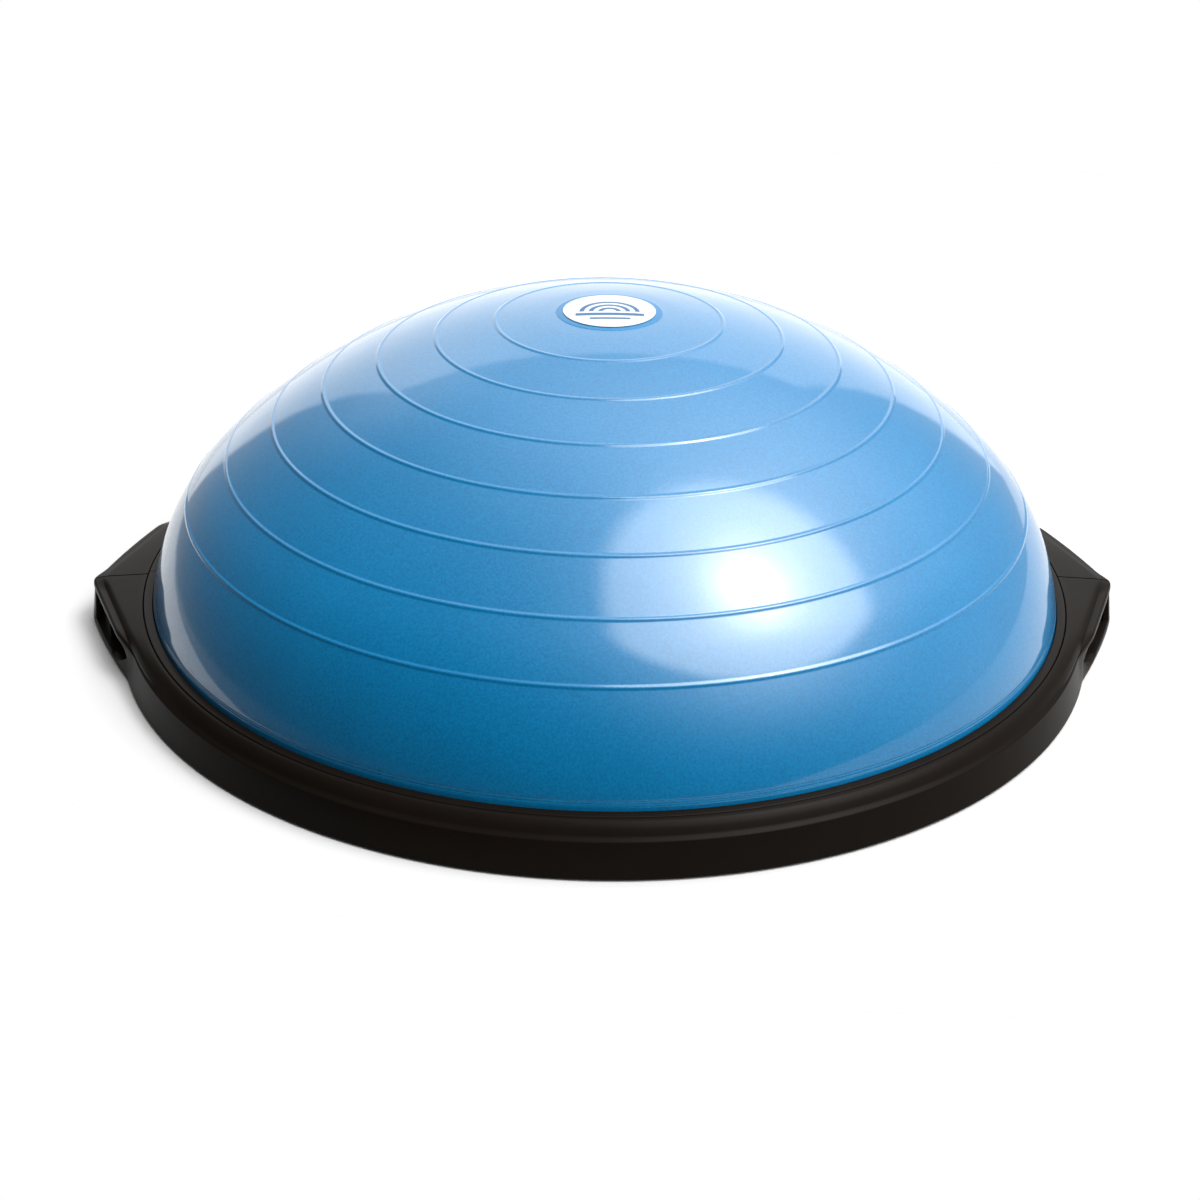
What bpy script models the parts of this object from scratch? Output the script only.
"""Balance dome trainer: an air-filled half dome clamped to a rigid round platform with a grip ear at each side.

The origin is on the floor under the centre of the platform, +X points to the right ear and -Y to the front.
Lengths in this file are millimetres and angles are degrees, and each mesh is scaled to metres as it is made.
"""

import math

import bmesh
import bpy

MM = 0.001
SEGMENTS = 48  # sides of every large turned piece
GAP = 0.3  # between pieces that touch

# Dome skin: a spherical cap that runs into a tighter tangent arc.
CROWN_Z = 223.8
CAP_RADIUS = 375.6
CAP_EDGE_R = 260.0
FLANK_RADIUS = 145.6
DOME_BASE_Z = 35.2
SKIN = 4.0
RIDGES = 7
RIDGE_FIRST = 74.0  # measured along the skin from the crown
RIDGE_PITCH = 40.0
RIDGE_HEIGHT = 1.2
RIDGE_HALF_WIDTH = 1.8
LABEL_R = 30.0
LABEL_THICK = 0.5

# Joint between skin and platform, from the seat of the skin's foot upwards.
SEAT_Z = 21.7
FOOT_INNER_R = 299.3
FOOT_OUTER_R = 306.0
FOOT_TOP_Z = 28.9
RING_INNER_R = 303.8
RING_OUTER_R = 309.6
RING_TOP_Z = 34.0
RING_FLANGE_R = 316.0
RING_FLANGE_TOP_Z = 24.2
SEAL_R = 302.8
SEAL_HALF_WIDTH = 1.4
SEAL_HEIGHT = 2.2

# Platform.
PLATFORM_R = 325.0
UNDERSIDE_Z = 1.0
DECK_TOP_Z = 8.0
DECK_WALL_R = 300.0
DECK_WALL = 3.5
DECK_FLANGE_Z = 17.0
DECK_FLANGE_R = 316.4
RING_RIB_R = 165.0
RIB_TOP_Z = 16.0
RIB_THICK = 3.0
RADIAL_RIBS = 8

# Rim halves: their section is a C that hooks over the edge of the deck.
RIM_INNER_R = 310.1
RIM_TOP_Z = 33.4
RIM_FLANGE_INNER_R = 301.2
RIM_FLANGE_TOP_Z = 4.6
RIM_WALL = 3.0
VALLEY_R = 318.8
RIM_EDGE_R = 321.0
PARTING = 0.4  # from the parting plane to each half

# Ears: plan outlines that run from a rounded tip back to the round rim.
EAR_TIP_RADIUS = 4.0
VISOR_TIP_X = 346.9
VISOR_SLOPE = 0.37
REAR_TIP_X = 344.2
REAR_SLOPE = 0.25
REAR_BOW = 0.001
REAR_EAR_REACH = 1.7  # how much further round the rear ears keep their height, in degrees
VALLEY_TIP_X = 340.6
VALLEY_SLOPE = 0.364
FOOTPRINT_TIP_X = 349.3
FOOTPRINT_SLOPE = 0.33
FOOTPRINT_BOW = 0.001
SLOT_TOP_Z = 25.0
SLOT_START = 1.2  # azimuth from the ear's tip
SLOT_END = 12.6
WALL_SEAM_Z = 22.0
EAR_STATIONS = (SLOT_START, 5.0, 9.0, SLOT_END, 14.5, 16.6, 19.0, 22.5, 26.0)
EAR_WEB_Y = 33.0
EAR_WEB_THICK = 2.5
EAR_WEB_HEIGHT = 10.0

# Straps that join the rim halves under each ear's shelf.
JOINER_TOP_Z = 27.2
JOINER_THICK = 3.0
JOINER_WIDTH = 12.0
JOINER_LENGTH = 40.0

# Valve in the middle of the underside.
WELL_R = 28.0
WELL_ROOF_Z = 9.0
WELL_WALL = 3.5
VALVE_HOLE_R = 10.4
VALVE_BORE_R = 5.3
PLUG_R = 4.95

# Screws: shank radius, and the clearance hole that each one stands in.
SHANK_R = 1.75
HOLE_R = 2.05
HEAD_R = 3.7
HEAD_HEIGHT = 2.0
SCREW_SIDES = 8
CLAMP_SCREWS = 12
CLAMP_SCREW_R = 312.5
RIM_SCREW_R = 308.0
RIM_SCREW_ANGLES = [side + step for side in (0.0, 180.0) for step in (30.0, 60.0, 90.0, 120.0, 150.0)]
BOSS_R = 4.6
EAR_SCREW_X = 323.5
EAR_SCREW_Y = 13.0

# Foot pads.
PADS = 8
PAD_CIRCLE_R = 272.0
PAD_R = 13.0
PAD_TOP_Z = 3.0


def smooth(low, high, value):
    """0 below low, 1 above high and a smooth step between."""
    share = min(max((value - low) / (high - low), 0.0), 1.0)
    return share * share * (3.0 - 2.0 * share)


def mix(first, second, share):
    return first + (second - first) * share


def polar(radius, angle, z):
    turn = math.radians(angle)
    return (radius * math.cos(turn), radius * math.sin(turn), z)


# ---------------------------------------------------------------- making objects


def make_material(name, color, roughness, metallic=0.0):
    material = bpy.data.materials.new(name)
    material.use_nodes = True
    shader = material.node_tree.nodes["Principled BSDF"]
    shader.inputs["Base Color"].default_value = (*color, 1.0)
    shader.inputs["Roughness"].default_value = roughness
    shader.inputs["Metallic"].default_value = metallic
    material.diffuse_color = (*color, 1.0)
    return material


def finish_mesh(name, bm):
    """A metre mesh from a millimetre bmesh, with its faces pointing out."""
    bmesh.ops.recalc_face_normals(bm, faces=bm.faces)
    bmesh.ops.scale(bm, vec=(MM, MM, MM), verts=bm.verts)
    mesh = bpy.data.meshes.new(name)
    bm.to_mesh(mesh)
    bm.free()
    mesh.shade_smooth()
    mesh.set_sharp_from_angle(angle=math.radians(32))
    return mesh


def place_object(name, mesh, location=(0.0, 0.0, 0.0), parent=None):
    item = bpy.data.objects.new(name, mesh)
    item.location = [value * MM for value in location]
    item.parent = parent
    bpy.context.scene.collection.objects.link(item)
    return item


def add_object(name, mesh, material, parent=None):
    mesh.materials.append(material)
    return place_object(name, mesh, parent=parent)


def revolve(bm, profile, centre=(0.0, 0.0), segments=SEGMENTS):
    """Turns a closed (radius, z) loop about the vertical line through centre."""
    rows = []
    for radius, z in profile:
        if radius == 0.0:
            rows.append([bm.verts.new((*centre, z))] * segments)
            continue
        ring = [polar(radius, 360.0 * i / segments, z) for i in range(segments)]
        rows.append([bm.verts.new((x + centre[0], y + centre[1], h)) for x, y, h in ring])
    for upper, lower in zip(rows, rows[1:] + rows[:1]):
        for i in range(segments):
            corners = [upper[i], lower[i], lower[(i + 1) % segments], upper[(i + 1) % segments]]
            corners = list(dict.fromkeys(corners))
            if len(corners) > 2:
                bm.faces.new(corners)


def turned(name, profile, material, segments=SEGMENTS):
    bm = bmesh.new()
    revolve(bm, profile, segments=segments)
    return add_object(name, finish_mesh(name, bm), material)


def rod(radius, bottom, top):
    """The profile of a plain cylinder."""
    return [(0.0, top), (radius, top), (radius, bottom), (0.0, bottom)]


def add_box(bm, size, centre, angle=0.0):
    """A box turned about the vertical axis through the origin by angle."""
    made = bmesh.ops.create_cube(bm, size=1.0)["verts"]
    bmesh.ops.scale(bm, vec=size, verts=made)
    bmesh.ops.translate(bm, vec=centre, verts=made)
    turn = math.radians(angle)
    for vert in made:
        x, y, z = vert.co
        vert.co = (x * math.cos(turn) - y * math.sin(turn), x * math.sin(turn) + y * math.cos(turn), z)


def add_boolean(item, operation, bm, label):
    """Joins a bmesh to an object, or cuts it away, as a hidden second operand."""
    operand = bpy.data.objects.new(f"{item.name}_{label}", finish_mesh(f"{item.name}_{label}", bm))
    operand.hide_render = True
    operand.display_type = "WIRE"
    bpy.context.scene.collection.objects.link(operand)
    step = item.modifiers.new(label, "BOOLEAN")
    step.operation = operation
    step.object = operand
    step.solver = "EXACT"


# ---------------------------------------------------------------- dome

CAP_TURN = math.asin(CAP_EDGE_R / CAP_RADIUS)
CAP_LENGTH = CAP_RADIUS * CAP_TURN
FLANK_CENTRE_R = CAP_EDGE_R - FLANK_RADIUS * math.sin(CAP_TURN)
FLANK_CENTRE_Z = CROWN_Z - CAP_RADIUS + (CAP_RADIUS - FLANK_RADIUS) * math.cos(CAP_TURN)
BASE_TURN = math.acos((DOME_BASE_Z - FLANK_CENTRE_Z) / FLANK_RADIUS)
SKIN_LENGTH = CAP_LENGTH + FLANK_RADIUS * (BASE_TURN - CAP_TURN)
DOME_BASE_R = FLANK_CENTRE_R + FLANK_RADIUS * math.sin(BASE_TURN)


def skin_point(length, proud=0.0):
    """(radius, z) at a length along the skin from the crown, raised by proud."""
    if length <= CAP_LENGTH:
        turn = length / CAP_RADIUS
        reach = CAP_RADIUS + proud
        return (reach * math.sin(turn), CROWN_Z - CAP_RADIUS + reach * math.cos(turn))
    turn = CAP_TURN + (length - CAP_LENGTH) / FLANK_RADIUS
    reach = FLANK_RADIUS + proud
    return (FLANK_CENTRE_R + reach * math.sin(turn), FLANK_CENTRE_Z + reach * math.cos(turn))


def make_bladder(material):
    profile = [(0.0, CROWN_Z), skin_point(LABEL_R * 0.6), skin_point(LABEL_R * 1.2)]
    for i in range(RIDGES):
        middle = RIDGE_FIRST + RIDGE_PITCH * i
        profile.append(skin_point(middle - RIDGE_HALF_WIDTH))
        profile.append(skin_point(middle, RIDGE_HEIGHT))
        profile.append(skin_point(middle + RIDGE_HALF_WIDTH))
    last_ridge = RIDGE_FIRST + RIDGE_PITCH * (RIDGES - 1)
    for share in (0.33, 0.66, 1.0):
        profile.append(skin_point(mix(last_ridge, SKIN_LENGTH, share)))
    foot_bottom = SEAT_Z + GAP
    profile += [
        (DOME_BASE_R, FOOT_TOP_Z + GAP),
        (FOOT_OUTER_R, FOOT_TOP_Z),
        (FOOT_OUTER_R, foot_bottom),
        (FOOT_INNER_R, foot_bottom),
    ]
    for share in (1.0, 0.92, 0.84, 0.76, 0.57, 0.38, 0.19):
        profile.append(skin_point(SKIN_LENGTH * share, -SKIN))
    profile.append((0.0, CROWN_Z - SKIN))
    bm = bmesh.new()
    revolve_open(bm, profile)
    return add_object("dome_bladder", finish_mesh("dome_bladder", bm), material)


def revolve_open(bm, profile):
    """Turns a profile that starts and ends on the axis: the last row doesn't close on the first."""
    revolve(bm, profile)
    on_axis = [edge for edge in bm.edges if all(abs(v.co.x) + abs(v.co.y) < 1e-6 for v in edge.verts)]
    bmesh.ops.delete(bm, geom=on_axis, context="EDGES")


def make_label(material):
    stations = (0.0, LABEL_R * 0.5, LABEL_R)
    top = [skin_point(s, GAP + LABEL_THICK) for s in stations]
    bottom = [skin_point(s, GAP) for s in reversed(stations)]
    return turned("crown_label", top + bottom, material, segments=32)


# ---------------------------------------------------------------- clamp between dome and platform


def make_clamp_ring(material):
    profile = [
        (RING_INNER_R, RING_TOP_Z - 0.3),
        (RING_INNER_R + 1.0, RING_TOP_Z),
        (RING_OUTER_R - 1.2, RING_TOP_Z - 0.2),
        (RING_OUTER_R, RING_TOP_Z - 0.8),
        (RING_OUTER_R, RING_FLANGE_TOP_Z),
        (RING_FLANGE_R, RING_FLANGE_TOP_Z),
        (RING_FLANGE_R, SEAT_Z + GAP),
        (FOOT_OUTER_R + 0.4, SEAT_Z + GAP),
        (FOOT_OUTER_R + 0.4, FOOT_TOP_Z + GAP),
        (RING_INNER_R, FOOT_TOP_Z + 3.0 * GAP),
    ]
    ring = turned("clamp_ring", profile, material)
    holes = bmesh.new()
    for x, y in clamp_screw_places():
        revolve(holes, rod(HOLE_R, SEAT_Z - 3.0, RING_FLANGE_TOP_Z + 3.0), (x, y), SCREW_SIDES)
    add_boolean(ring, "DIFFERENCE", holes, "screw_holes")
    return ring


def make_seal(material):
    low = SEAT_Z - SEAL_HEIGHT
    profile = [
        (SEAL_R - SEAL_HALF_WIDTH, SEAT_Z),
        (SEAL_R + SEAL_HALF_WIDTH, SEAT_Z),
        (SEAL_R + SEAL_HALF_WIDTH, low),
        (SEAL_R - SEAL_HALF_WIDTH, low),
    ]
    return turned("bead_seal", profile, material)


# ---------------------------------------------------------------- deck


def clamp_screw_places():
    step = 360.0 / CLAMP_SCREWS
    return [polar(CLAMP_SCREW_R, step * (i + 0.5), 0.0)[:2] for i in range(CLAMP_SCREWS)]


def rim_screw_places():
    return [polar(RIM_SCREW_R, angle, 0.0)[:2] for angle in RIM_SCREW_ANGLES]


def pad_places():
    step = 360.0 / PADS
    return [polar(PAD_CIRCLE_R, step * (i + 0.5), 0.0)[:2] for i in range(PADS)]


def make_deck(material):
    groove = SEAL_HALF_WIDTH + 0.4
    profile = [(VALVE_HOLE_R, WELL_ROOF_Z + WELL_WALL), (WELL_R + WELL_WALL, WELL_ROOF_Z + WELL_WALL)]
    profile.append((WELL_R + WELL_WALL, DECK_TOP_Z))
    for side, z in ((-0.5, DECK_TOP_Z), (-0.5, RIB_TOP_Z), (0.5, RIB_TOP_Z), (0.5, DECK_TOP_Z)):
        profile.append((RING_RIB_R + side * RIB_THICK, z))
    profile += [
        (DECK_WALL_R - DECK_WALL, DECK_TOP_Z),
        (DECK_WALL_R - DECK_WALL, SEAT_Z),
        (SEAL_R - groove, SEAT_Z),
        (SEAL_R - groove, SEAT_Z - SEAL_HEIGHT - GAP),
        (SEAL_R + groove, SEAT_Z - SEAL_HEIGHT - GAP),
        (SEAL_R + groove, SEAT_Z),
        (DECK_FLANGE_R, SEAT_Z),
        (DECK_FLANGE_R, DECK_FLANGE_Z),
        (DECK_WALL_R, DECK_FLANGE_Z),
        (DECK_WALL_R, UNDERSIDE_Z),
        (WELL_R, UNDERSIDE_Z),
        (WELL_R, WELL_ROOF_Z),
        (VALVE_HOLE_R, WELL_ROOF_Z),
    ]
    deck = turned("deck_plate", profile, material)
    added = bmesh.new()
    rib_start = WELL_R + 1.5
    rib_end = DECK_WALL_R - 1.5
    for i in range(RADIAL_RIBS):
        size = (rib_end - rib_start, RIB_THICK, RIB_TOP_Z - DECK_TOP_Z + 1.0)
        centre = ((rib_end + rib_start) / 2.0, 0.0, (RIB_TOP_Z + DECK_TOP_Z) / 2.0 - 1.0)
        add_box(added, size, centre, 360.0 * i / RADIAL_RIBS)
    for place in rim_screw_places():
        revolve(added, rod(BOSS_R, RIM_FLANGE_TOP_Z + 0.4, DECK_FLANGE_Z + 1.0), place, SCREW_SIDES)
    add_boolean(deck, "UNION", added, "ribs_and_bosses")
    cuts = bmesh.new()
    for place in rim_screw_places():
        revolve(cuts, rod(HOLE_R, 0.0, DECK_FLANGE_Z - 1.0), place, SCREW_SIDES)
    for place in clamp_screw_places():
        revolve(cuts, rod(HOLE_R, DECK_FLANGE_Z - 3.0, SEAT_Z + 3.0), place, SCREW_SIDES)
    for place in pad_places():
        revolve(cuts, rod(PAD_R + GAP, -2.0, PAD_TOP_Z + GAP), place, 16)
    add_boolean(deck, "DIFFERENCE", cuts, "holes_and_pockets")
    return deck


# ---------------------------------------------------------------- rim halves


def ear_radius(azimuth, tip_x, slope, bow=0.0):
    """Distance from the centre to an ear's plan outline at an azimuth from the tip."""
    turn = math.radians(azimuth)
    radius = tip_x
    for _ in range(12):
        y = radius * math.sin(turn)
        x = tip_x - slope * (math.hypot(y, EAR_TIP_RADIUS) - EAR_TIP_RADIUS) - bow * y * y
        radius = x / math.cos(turn)
    return radius


def rim_section(azimuth, grooved):
    """The closed C section of the rim, as (radius, z), at an azimuth from the nearer ear's tip.

    A grooved ear has a valley behind its edge bead, and a plain one runs flat out to the edge.
    """
    fall = 0.0 if grooved else REAR_EAR_REACH
    ear = 1.0 - smooth(13.0 + fall, 19.0 + fall, azimuth)
    shelf = 1.0 - smooth(15.0, 29.0, azimuth)
    if azimuth < 29.0:
        outline = ear_radius(azimuth, VISOR_TIP_X, VISOR_SLOPE)
        if not grooved:
            rear_outline = ear_radius(azimuth, REAR_TIP_X, REAR_SLOPE, REAR_BOW)
            outline = mix(outline, rear_outline, smooth(0.0, 3.0, azimuth))
        edge = mix(RIM_EDGE_R, outline, ear)
        valley = mix(VALLEY_R, ear_radius(azimuth, VALLEY_TIP_X, VALLEY_SLOPE), shelf)
        footprint = ear_radius(azimuth, FOOTPRINT_TIP_X, FOOTPRINT_SLOPE, FOOTPRINT_BOW)
    else:
        edge, valley, footprint = RIM_EDGE_R, VALLEY_R, PLATFORM_R
    footprint = max(footprint, PLATFORM_R)
    shoulder_z = mix(30.4, 31.4, shelf)
    valley_z = mix(26.6, 28.8 if grooved else 30.8, ear)
    crest_z = mix(25.6, 30.2, ear)
    edge_z = crest_z - 1.4
    low_edge_z = UNDERSIDE_Z + 0.8

    def wall(z):
        return mix(footprint, edge, (z - low_edge_z) / (edge_z - low_edge_z))

    slot_top_z = mix(WALL_SEAM_Z, SLOT_TOP_Z, ear)
    slot_top = wall(slot_top_z)
    slot_bottom = wall(RIM_FLANGE_TOP_Z)
    return [
        (RIM_INNER_R, RIM_TOP_Z),
        (RIM_INNER_R + 2.4, RIM_TOP_Z - 0.4),
        (valley - 3.8, shoulder_z),
        (valley - 1.9, (shoulder_z + valley_z) / 2.0 - 0.3),
        (valley, valley_z),
        (edge - 1.4, crest_z),
        (edge, edge_z),
        (slot_top, slot_top_z),
        (slot_bottom, RIM_FLANGE_TOP_Z),
        (footprint, low_edge_z),
        (footprint - 0.8, UNDERSIDE_Z),
        (RIM_FLANGE_INNER_R, UNDERSIDE_Z),
        (RIM_FLANGE_INNER_R, RIM_FLANGE_TOP_Z),
        (slot_bottom - RIM_WALL, RIM_FLANGE_TOP_Z),
        (slot_top - RIM_WALL, slot_top_z),
        (valley - 0.5, valley_z - 3.2),
        (valley - 4.6, shoulder_z - 3.2),
        (RIM_INNER_R, RIM_TOP_Z - RIM_WALL),
    ]


OUTER_WALL = 7  # index of the section point at the top of the slot, outside
INNER_WALL = 13  # and at the bottom of the slot, inside


def rim_stations():
    """Azimuths from the right ear's tip to the left ear's tip."""
    step = 360.0 / SEGMENTS
    round_part = [step * i for i in range(math.ceil(EAR_STATIONS[-1] / step), SEGMENTS // 4)]
    quarter = [0.0, *EAR_STATIONS, *round_part]
    return quarter + [90.0] + [180.0 - azimuth for azimuth in reversed(quarter)]


def make_rim_half(name, side, material):
    """One half ring, at the front for side -1 and at the rear for side 1."""
    stations = rim_stations()
    bm = bmesh.new()
    rows = []
    for azimuth in stations:
        section = rim_section(min(azimuth, 180.0 - azimuth), side < 0)
        row = []
        for radius, z in section:
            x, y, _ = polar(radius, azimuth, z)
            if azimuth in (0.0, 180.0):
                x = math.copysign(math.sqrt(radius * radius - PARTING * PARTING), x)
                y = PARTING
            row.append(bm.verts.new((x, side * y, z)))
        rows.append(row)
    count = len(rows[0])
    for start, (near, far) in enumerate(zip(rows, rows[1:])):
        middle = (stations[start] + stations[start + 1]) / 2.0
        in_slot = SLOT_START < min(middle, 180.0 - middle) < SLOT_END
        for i in range(count):
            j = (i + 1) % count
            if not (in_slot and i in (OUTER_WALL, INNER_WALL)):
                bm.faces.new((near[i], near[j], far[j], far[i]))
        if in_slot:
            for outer, inner in ((OUTER_WALL, INNER_WALL + 1), (OUTER_WALL + 1, INNER_WALL)):
                bm.faces.new((near[outer], far[outer], far[inner], near[inner]))
    slot_ends = [SLOT_START, SLOT_END, 180.0 - SLOT_END, 180.0 - SLOT_START]
    for row in [rows[stations.index(azimuth)] for azimuth in slot_ends]:
        bm.faces.new([row[i] for i in (OUTER_WALL, OUTER_WALL + 1, INNER_WALL, INNER_WALL + 1)])
    bm.faces.new(rows[0])
    bm.faces.new(rows[-1])
    half = add_object(name, finish_mesh(name, bm), material)
    add_rim_details(half, side)
    return half


def add_rim_details(half, side):
    """Screw bosses and a stiffening web in each ear, and the screw holes."""
    added = bmesh.new()
    cuts = bmesh.new()
    head_room = UNDERSIDE_Z + HEAD_HEIGHT + 0.2
    counterbore = [
        (0.0, RIM_FLANGE_TOP_Z + 2.0),
        (HOLE_R, RIM_FLANGE_TOP_Z + 2.0),
        (HOLE_R, head_room),
        (HEAD_R + GAP, head_room),
        (HEAD_R + GAP, -2.0),
        (0.0, -2.0),
    ]
    for end in (-1.0, 1.0):
        place = (end * EAR_SCREW_X, side * EAR_SCREW_Y)
        revolve(added, rod(4.0, JOINER_TOP_Z + GAP, RIM_TOP_Z - 2.0), place, SCREW_SIDES)
        revolve(cuts, rod(HOLE_R, JOINER_TOP_Z - 1.0, RIM_TOP_Z - 3.0), place, SCREW_SIDES)
        web_inner = RIM_FLANGE_INNER_R + 3.0
        web_outer = VISOR_TIP_X - VISOR_SLOPE * EAR_WEB_Y - RIM_WALL
        size = (web_outer - web_inner, EAR_WEB_THICK, EAR_WEB_HEIGHT)
        middle_z = RIM_FLANGE_TOP_Z - 1.0 + EAR_WEB_HEIGHT / 2.0
        centre = (end * (web_outer + web_inner) / 2.0, side * EAR_WEB_Y, middle_z)
        add_box(added, size, centre)
    for x, y in rim_screw_places():
        if y * side > 0.0:
            revolve(cuts, counterbore, (x, y), SCREW_SIDES)
    add_boolean(half, "UNION", added, "bosses_and_webs")
    add_boolean(half, "DIFFERENCE", cuts, "screw_holes")


# ---------------------------------------------------------------- ear joiners


def make_ear_joiner(name, end, material):
    """The strap under an ear's shelf that holds the two rim halves together."""
    bm = bmesh.new()
    middle_z = JOINER_TOP_Z - JOINER_THICK / 2.0
    add_box(bm, (JOINER_WIDTH, JOINER_LENGTH, JOINER_THICK), (end * EAR_SCREW_X, 0.0, middle_z))
    strap = add_object(name, finish_mesh(name, bm), material)
    holes = bmesh.new()
    for side in (-1.0, 1.0):
        place = (end * EAR_SCREW_X, side * EAR_SCREW_Y)
        revolve(holes, rod(HOLE_R, middle_z - JOINER_THICK, middle_z + JOINER_THICK), place, SCREW_SIDES)
    add_boolean(strap, "DIFFERENCE", holes, "screw_holes")


# ---------------------------------------------------------------- screws, pads and valve


def screw_profile(head_bottom, tip):
    """A pan head screw that points up."""
    head_top = head_bottom + HEAD_HEIGHT
    return [
        (0.0, tip),
        (SHANK_R, tip),
        (SHANK_R, head_top),
        (HEAD_R, head_top),
        (HEAD_R - 0.6, head_bottom),
        (0.0, head_bottom),
    ]


def make_screws(name, places, head_bottom, tip, material):
    """One object for each screw, all on one mesh whose origin is on the screw's axis."""
    bm = bmesh.new()
    revolve(bm, screw_profile(head_bottom, tip), segments=SCREW_SIDES)
    mesh = finish_mesh(name, bm)
    mesh.materials.append(material)
    for i, (x, y) in enumerate(places):
        place_object(f"{name}_{i + 1}", mesh, (x, y, 0.0))


def make_pads(material):
    bm = bmesh.new()
    profile = [(0.0, PAD_TOP_Z), (PAD_R, PAD_TOP_Z), (PAD_R, 0.5), (PAD_R - 0.5, 0.0), (0.0, 0.0)]
    revolve(bm, profile, segments=16)
    mesh = finish_mesh("foot_pad", bm)
    mesh.materials.append(material)
    for i, (x, y) in enumerate(pad_places()):
        place_object(f"foot_pad_{i + 1}", mesh, (x, y, 0.0))


def make_valve(seat_material, plug_material):
    roof_top = WELL_ROOF_Z + WELL_WALL
    neck = VALVE_HOLE_R - GAP
    seat_bottom = WELL_ROOF_Z - GAP - 1.5
    seat_profile = [
        (VALVE_BORE_R, roof_top + 5.5),
        (8.0, roof_top + 5.5),
        (8.0, roof_top + GAP + 1.5),
        (14.0, roof_top + GAP + 1.2),
        (14.0, roof_top + GAP),
        (neck, roof_top + GAP),
        (neck, WELL_ROOF_Z - GAP),
        (15.0, WELL_ROOF_Z - GAP),
        (15.0, seat_bottom),
        (VALVE_BORE_R, seat_bottom),
    ]
    turned("valve_seat", seat_profile, seat_material, segments=20)
    plug_axis = bpy.data.objects.new("plug_axis", None)
    bpy.context.scene.collection.objects.link(plug_axis)
    head_top = seat_bottom - GAP
    plug_profile = [
        (0.0, roof_top + 8.5),
        (PLUG_R - 1.2, roof_top + 8.5),
        (PLUG_R, roof_top + 6.5),
        (PLUG_R, head_top),
        (12.0, head_top),
        (12.0, head_top - 2.2),
        (5.5, head_top - 2.6),
        (5.5, head_top - 3.6),
        (8.0, head_top - 4.0),
        (8.0, head_top - 4.9),
        (0.0, head_top - 4.9),
    ]
    bm = bmesh.new()
    revolve(bm, plug_profile, segments=20)
    add_object("air_plug", finish_mesh("air_plug", bm), plug_material, parent=plug_axis)


def clear_scene():
    for item in list(bpy.data.objects):
        bpy.data.objects.remove(item, do_unlink=True)


def main():
    clear_scene()
    blue_vinyl = make_material("blue_vinyl", (0.03, 0.22, 0.50), 0.25)
    label_print = make_material("label_print", (0.88, 0.91, 0.94), 0.4)
    rim_black = make_material("rim_black", (0.030, 0.026, 0.023), 0.55)
    ring_black = make_material("ring_black", (0.026, 0.023, 0.021), 0.5)
    deck_black = make_material("deck_black", (0.022, 0.021, 0.020), 0.6)
    soft_rubber = make_material("soft_rubber", (0.015, 0.015, 0.015), 0.8)
    zinc_steel = make_material("zinc_steel", (0.62, 0.62, 0.60), 0.35, 1.0)
    plug_white = make_material("plug_white", (0.80, 0.80, 0.78), 0.4)
    make_bladder(blue_vinyl)
    make_label(label_print)
    make_clamp_ring(ring_black)
    make_seal(soft_rubber)
    make_deck(deck_black)
    make_rim_half("front_rim", -1.0, rim_black)
    make_rim_half("rear_rim", 1.0, rim_black)
    make_ear_joiner("left_ear_joiner", -1.0, zinc_steel)
    make_ear_joiner("right_ear_joiner", 1.0, zinc_steel)
    clamp_head = DECK_FLANGE_Z - GAP - HEAD_HEIGHT
    make_screws("clamp_screw", clamp_screw_places(), clamp_head, RING_FLANGE_TOP_Z - 0.2, zinc_steel)
    make_screws("rim_screw", rim_screw_places(), UNDERSIDE_Z - 0.1, DECK_FLANGE_Z - 2.0, zinc_steel)
    ear_places = [(end * EAR_SCREW_X, side * EAR_SCREW_Y) for end in (-1, 1) for side in (-1, 1)]
    ear_head = JOINER_TOP_Z - JOINER_THICK - GAP - HEAD_HEIGHT
    make_screws("ear_screw", ear_places, ear_head, RIM_TOP_Z - 3.5, zinc_steel)
    make_pads(soft_rubber)
    make_valve(soft_rubber, plug_white)


main()
